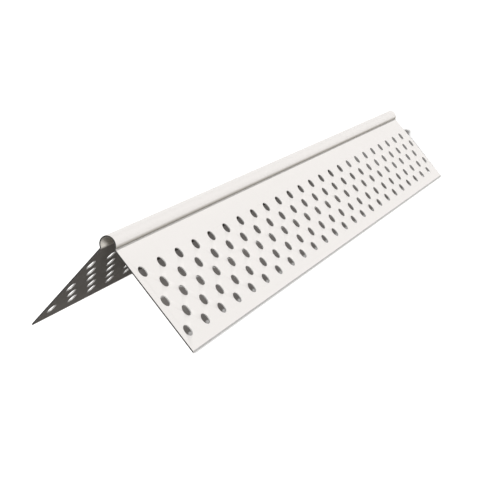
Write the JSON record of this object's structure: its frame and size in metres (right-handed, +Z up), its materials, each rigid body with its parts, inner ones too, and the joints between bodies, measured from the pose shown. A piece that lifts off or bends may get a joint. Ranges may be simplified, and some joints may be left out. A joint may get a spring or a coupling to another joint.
{
  "type": "drywall corner bead",
  "caption": "Perforated sheet-metal corner bead with a rolled round nose and two flat legs that cover and straighten the outside corner of a plasterboard wall.",
  "frame": {"origin": "middle of the bead on the floor that its two free edges stand on", "axes": "+X along the length, +Z up through the round nose, the two legs open towards -Y and +Y"},
  "size_m": [0.209, 0.0414, 0.0238],
  "materials": {
    "coated_sheet": "smooth satin off-white coil coat on thin steel, with a grey coat on the inner side and bare cut edges"
  },
  "bodies": {
    "root": {"corner_bead": "coated_sheet"}
  },
  "joints": []
}
